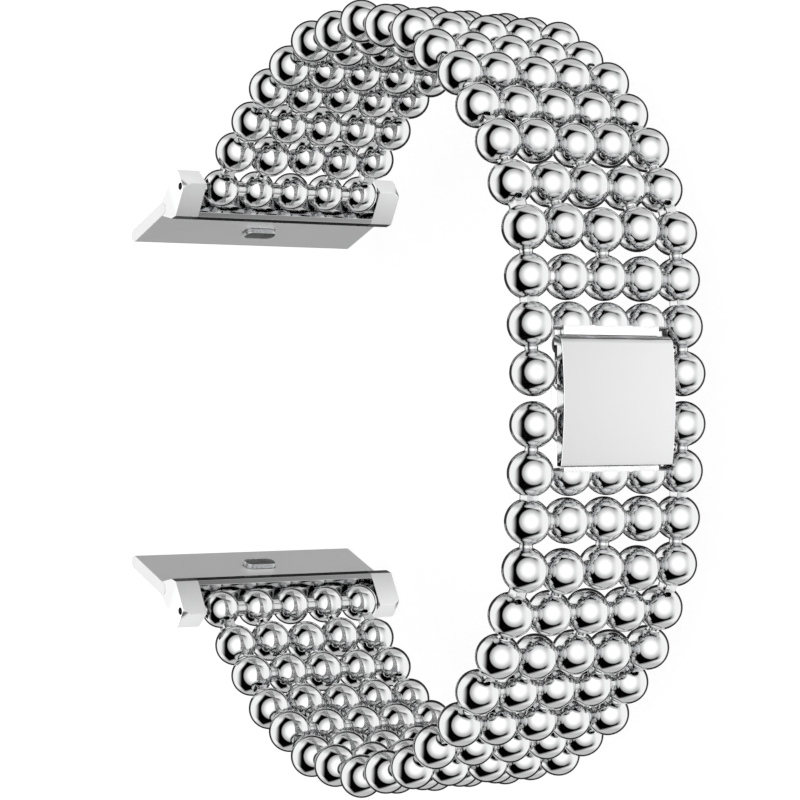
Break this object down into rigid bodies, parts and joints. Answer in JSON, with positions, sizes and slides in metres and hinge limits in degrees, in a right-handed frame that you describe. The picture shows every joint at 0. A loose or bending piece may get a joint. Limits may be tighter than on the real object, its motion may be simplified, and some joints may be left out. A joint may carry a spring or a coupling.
{
  "type": "watch bracelet",
  "caption": "Polished metal watch bracelet of round beads in five columns, with hinged double links, a flat box clasp and slide-in end adapters.",
  "frame": {"origin": "centre of the bracelet's bounding box at its lower face: the bracelet lies on its edge and Z = 0 is the adapters' lower faces", "axes": "+X from the clasp towards the adapters, Y across the loop from the clasp's tongue half (+Y) to its tray half (-Y), +Z along the hinge pins"},
  "size_m": [0.0712, 0.0824, 0.0289],
  "materials": {
    "bead_steel": "mirror polished",
    "clasp_steel": "mirror polished",
    "lid_steel": "fine satin",
    "adapter_steel": "fine satin",
    "latch_steel": "satin",
    "pin_steel": "drawn",
    "spring_steel": "rolled",
    "magnet": "nickel plated"
  },
  "bodies": {
    "tray": {"clasp_tray": "clasp_steel", "tray_magnets": "magnet"},
    "tongue": {"clasp_tongue": "clasp_steel", "tongue_magnets": "magnet"},
    "lid": {"clasp_lid": "lid_steel", "lid_pin": "pin_steel"},
    "upper_link_1": {"upper_link_1": "bead_steel", "upper_pin_1": "pin_steel"},
    "upper_link_2": {"upper_link_2": "bead_steel", "upper_pin_2": "pin_steel"},
    "upper_link_3": {"upper_link_3": "bead_steel", "upper_pin_3": "pin_steel"},
    "upper_link_4": {"upper_link_4": "bead_steel", "upper_pin_4": "pin_steel"},
    "upper_link_5": {"upper_link_5": "bead_steel", "upper_pin_5": "pin_steel"},
    "upper_link_6": {"upper_link_6": "bead_steel", "upper_pin_6": "pin_steel"},
    "upper_link_7": {"upper_link_7": "bead_steel", "upper_pin_7": "pin_steel"},
    "upper_link_8": {"upper_link_8": "bead_steel", "upper_pin_8": "pin_steel"},
    "upper_end_link": {"upper_end_link": "bead_steel", "upper_pin_9": "pin_steel"},
    "upper_adapter": {"upper_adapter": "adapter_steel", "upper_adapter_pin": "pin_steel"},
    "upper_latch": {"upper_latch": "latch_steel", "upper_latch_spring": "spring_steel"},
    "lower_link_1": {"lower_link_1": "bead_steel", "lower_pin_1": "pin_steel"},
    "lower_link_2": {"lower_link_2": "bead_steel", "lower_pin_2": "pin_steel"},
    "lower_link_3": {"lower_link_3": "bead_steel", "lower_pin_3": "pin_steel"},
    "lower_link_4": {"lower_link_4": "bead_steel", "lower_pin_4": "pin_steel"},
    "lower_link_5": {"lower_link_5": "bead_steel", "lower_pin_5": "pin_steel"},
    "lower_link_6": {"lower_link_6": "bead_steel", "lower_pin_6": "pin_steel"},
    "lower_link_7": {"lower_link_7": "bead_steel", "lower_pin_7": "pin_steel"},
    "lower_link_8": {"lower_link_8": "bead_steel", "lower_pin_8": "pin_steel"},
    "lower_end_link": {"lower_end_link": "bead_steel", "lower_pin_9": "pin_steel"},
    "lower_adapter": {"lower_adapter": "adapter_steel", "lower_adapter_pin": "pin_steel"},
    "lower_latch": {"lower_latch": "latch_steel", "lower_latch_spring": "spring_steel"}
  },
  "joints": [
    {"name": "tongue_slide", "type": "slide", "parent": "tray", "child": "tongue", "axis": [0, 1, 0], "range_m": [0, 0.01]},
    {"name": "lid_hinge", "type": "hinge", "parent": "tray", "child": "lid", "pos_m": [-0.0339, -0.00516, 0.01445], "axis": [0, 0, 1], "range_deg": [0, 95]},
    {"name": "upper_row_1", "type": "hinge", "parent": "tray", "child": "upper_link_1", "pos_m": [-0.03297, -0.00708, 0.01445], "axis": [0, 0, 1], "range_deg": [-0.41, 23.59]},
    {"name": "upper_row_2", "type": "hinge", "parent": "upper_link_1", "child": "upper_link_2", "pos_m": [-0.0321, -0.0163, 0.01445], "axis": [0, 0, 1], "range_deg": [-21.25, 2.75]},
    {"name": "upper_row_3", "type": "hinge", "parent": "upper_link_2", "child": "upper_link_3", "pos_m": [-0.0278, -0.02486, 0.01445], "axis": [0, 0, 1], "range_deg": [-15, 9]},
    {"name": "upper_row_4", "type": "hinge", "parent": "upper_link_3", "child": "upper_link_4", "pos_m": [-0.02143, -0.03202, 0.01445], "axis": [0, 0, 1], "range_deg": [-16.82, 7.18]},
    {"name": "upper_row_5", "type": "hinge", "parent": "upper_link_4", "child": "upper_link_5", "pos_m": [-0.01326, -0.03702, 0.01445], "axis": [0, 0, 1], "range_deg": [-19.78, 4.22]},
    {"name": "upper_row_6", "type": "hinge", "parent": "upper_link_5", "child": "upper_link_6", "pos_m": [-0.00388, -0.03897, 0.01445], "axis": [0, 0, 1], "range_deg": [-18.38, 5.62]},
    {"name": "upper_row_7", "type": "hinge", "parent": "upper_link_6", "child": "upper_link_7", "pos_m": [0.00563, -0.03786, 0.01445], "axis": [0, 0, 1], "range_deg": [-19.69, 4.31]},
    {"name": "upper_row_8", "type": "hinge", "parent": "upper_link_7", "child": "upper_link_8", "pos_m": [0.01422, -0.03361, 0.01445], "axis": [0, 0, 1], "range_deg": [-15.34, 8.66]},
    {"name": "upper_row_9", "type": "hinge", "parent": "upper_link_8", "child": "upper_end_link", "pos_m": [0.02137, -0.02724, 0.01445], "axis": [0, 0, 1], "range_deg": [-7.88, 16.12]},
    {"name": "upper_row_10", "type": "hinge", "parent": "upper_end_link", "child": "upper_adapter", "pos_m": [0.02459, -0.02347, 0.01445], "axis": [0, 0, 1], "range_deg": [-25, 25]},
    {"name": "upper_latch_press", "type": "slide", "parent": "upper_adapter", "child": "upper_latch", "axis": [0.3859, -0.9225, 0], "range_m": [0, 0.00045], "stiffness_N_per_m": 1500, "springref_m": -0.0002},
    {"name": "lower_row_1", "type": "hinge", "parent": "tongue", "child": "lower_link_1", "pos_m": [-0.03297, 0.00708, 0.01445], "axis": [0, 0, 1], "range_deg": [-23.59, 0.41]},
    {"name": "lower_row_2", "type": "hinge", "parent": "lower_link_1", "child": "lower_link_2", "pos_m": [-0.0321, 0.0163, 0.01445], "axis": [0, 0, 1], "range_deg": [-2.75, 21.25]},
    {"name": "lower_row_3", "type": "hinge", "parent": "lower_link_2", "child": "lower_link_3", "pos_m": [-0.0278, 0.02486, 0.01445], "axis": [0, 0, 1], "range_deg": [-9, 15]},
    {"name": "lower_row_4", "type": "hinge", "parent": "lower_link_3", "child": "lower_link_4", "pos_m": [-0.02143, 0.03202, 0.01445], "axis": [0, 0, 1], "range_deg": [-7.18, 16.82]},
    {"name": "lower_row_5", "type": "hinge", "parent": "lower_link_4", "child": "lower_link_5", "pos_m": [-0.01326, 0.03702, 0.01445], "axis": [0, 0, 1], "range_deg": [-4.22, 19.78]},
    {"name": "lower_row_6", "type": "hinge", "parent": "lower_link_5", "child": "lower_link_6", "pos_m": [-0.00388, 0.03897, 0.01445], "axis": [0, 0, 1], "range_deg": [-5.62, 18.38]},
    {"name": "lower_row_7", "type": "hinge", "parent": "lower_link_6", "child": "lower_link_7", "pos_m": [0.00563, 0.03786, 0.01445], "axis": [0, 0, 1], "range_deg": [-4.31, 19.69]},
    {"name": "lower_row_8", "type": "hinge", "parent": "lower_link_7", "child": "lower_link_8", "pos_m": [0.01422, 0.03361, 0.01445], "axis": [0, 0, 1], "range_deg": [-8.66, 15.34]},
    {"name": "lower_row_9", "type": "hinge", "parent": "lower_link_8", "child": "lower_end_link", "pos_m": [0.02137, 0.02724, 0.01445], "axis": [0, 0, 1], "range_deg": [-16.12, 7.88]},
    {"name": "lower_row_10", "type": "hinge", "parent": "lower_end_link", "child": "lower_adapter", "pos_m": [0.02459, 0.02347, 0.01445], "axis": [0, 0, 1], "range_deg": [-25, 25]},
    {"name": "lower_latch_press", "type": "slide", "parent": "lower_adapter", "child": "lower_latch", "axis": [0.3859, 0.9225, 0], "range_m": [0, 0.00045], "stiffness_N_per_m": 1500, "springref_m": -0.0002}
  ]
}
